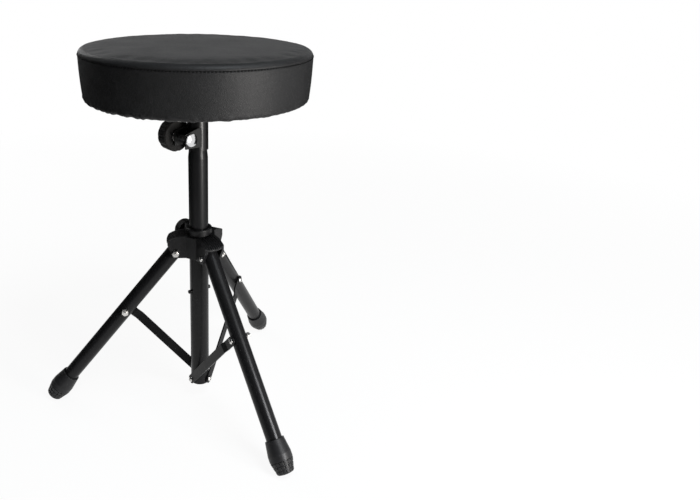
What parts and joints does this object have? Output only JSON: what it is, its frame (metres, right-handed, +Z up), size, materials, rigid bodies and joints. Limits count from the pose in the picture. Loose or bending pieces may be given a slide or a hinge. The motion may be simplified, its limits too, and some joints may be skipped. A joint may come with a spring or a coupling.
{
  "type": "drum stool",
  "caption": "Round padded drum stool on a folding tripod: a centre post, a sliding hub with clamp knob, braced legs with rubber feet, and a seat held by a clamped socket.",
  "frame": {"origin": "on the floor, under the axis of the centre post", "axes": "+Z up along the centre post; -X out along the first leg"},
  "size_m": [0.351, 0.369, 0.4901],
  "materials": {
    "black_leather": "artificial leather with a fine grain, satin",
    "foam": "open foam",
    "plywood": "raw",
    "dust_cloth": "non-woven, matt",
    "black_paint": "powder coat, semi-gloss",
    "zinc": "bright zinc",
    "chrome": "polished",
    "hub_plastic": "moulded, slightly glossy",
    "knob_plastic": "moulded, matt",
    "black_rubber": "matt",
    "brass": "turned"
  },
  "bodies": {
    "post": {"centre_post": "black_paint", "stop_pin": "zinc", "post_top_plug": "knob_plastic", "post_weld_nuts": "zinc", "post_screws": "zinc"},
    "hub": {"hub_body": "hub_plastic", "hub_captive_nut": "zinc", "hub_pivot_bolts": "zinc", "hub_pivot_nuts": "zinc"},
    "hub_knob": {"hub_knob_cap": "knob_plastic", "hub_knob_screw": "zinc"},
    "seat": {"seat_cover": "black_leather", "seat_foam": "foam", "seat_board": "plywood", "seat_dust_cloth": "dust_cloth", "seat_staples": "zinc", "seat_plate": "black_paint", "plate_screws": "zinc", "seat_tee_nuts": "zinc", "seat_sleeve": "black_paint", "clamp_ears": "black_paint", "clamp_bolt": "chrome", "clamp_washer": "zinc"},
    "clamp_knob": {"clamp_knob": "knob_plastic", "clamp_knob_insert": "brass"},
    "brace_1": {"brace_1": "black_paint"},
    "leg_1": {"leg_tube_1": "black_paint", "leg_foot_1": "black_rubber", "brace_bolt_1": "zinc", "brace_nut_1": "zinc"},
    "brace_2": {"brace_2": "black_paint"},
    "leg_2": {"leg_tube_2": "black_paint", "leg_foot_2": "black_rubber", "brace_bolt_2": "zinc", "brace_nut_2": "zinc"},
    "brace_3": {"brace_3": "black_paint"},
    "leg_3": {"leg_tube_3": "black_paint", "leg_foot_3": "black_rubber", "brace_bolt_3": "zinc", "brace_nut_3": "zinc"}
  },
  "joints": [
    {"name": "fold", "type": "hinge", "parent": "post", "child": "brace_1", "pos_m": [0, 0, 0.0265], "axis": [0, -1, 0], "range_deg": [-27.7, 11.3]},
    {"name": "leg_1_fold", "type": "hinge", "parent": "brace_1", "child": "leg_1", "pos_m": [-0.09848, 0, 0.13698], "axis": [0, -1, 0], "range_deg": [-26.3, 63.8]},
    {"name": "brace_2_fold", "type": "hinge", "parent": "post", "child": "brace_2", "pos_m": [0, 0, 0.0265], "axis": [0.866, 0.5, 0], "range_deg": [-28, 11.6]},
    {"name": "leg_2_fold", "type": "hinge", "parent": "brace_2", "child": "leg_2", "pos_m": [0.04924, -0.08528, 0.13698], "axis": [0.866, 0.5, 0], "range_deg": [-26.3, 63.8]},
    {"name": "brace_3_fold", "type": "hinge", "parent": "post", "child": "brace_3", "pos_m": [0, 0, 0.0265], "axis": [-0.866, 0.5, 0], "range_deg": [-28, 11.6]},
    {"name": "leg_3_fold", "type": "hinge", "parent": "brace_3", "child": "leg_3", "pos_m": [0.04924, 0.08528, 0.13698], "axis": [-0.866, 0.5, 0], "range_deg": [-26.3, 63.8]},
    {"name": "hub_level", "type": "hinge", "parent": "leg_1", "child": "hub", "pos_m": [-0.03, 0, 0.22307], "axis": [0, -1, 0], "range_deg": [-36, 14.9]},
    {"name": "hub_knob_turn", "type": "hinge", "parent": "hub", "child": "hub_knob", "pos_m": [0, 0, 0.23887], "axis": [-0.5, 0.866, 0], "range_deg": [0, 720]},
    {"name": "seat_swivel", "type": "hinge", "parent": "post", "child": "seat", "pos_m": [0, 0, 0.4], "axis": [0, 0, 1], "continuous": true},
    {"name": "clamp_knob_turn", "type": "hinge", "parent": "seat", "child": "clamp_knob", "pos_m": [-0.01597, -0.01204, 0.3766], "axis": [-0.6018, 0.7986, 0], "range_deg": [0, 720]}
  ],
  "couplings": [
    {"joint": "leg_1_fold", "follows": "fold", "ratio": -2.2844},
    {"joint": "brace_2_fold", "follows": "fold", "ratio": 1},
    {"joint": "leg_2_fold", "follows": "fold", "ratio": -2.2844},
    {"joint": "brace_3_fold", "follows": "fold", "ratio": 1},
    {"joint": "leg_3_fold", "follows": "fold", "ratio": -2.2844},
    {"joint": "hub_level", "follows": "fold", "ratio": 1.2844}
  ]
}
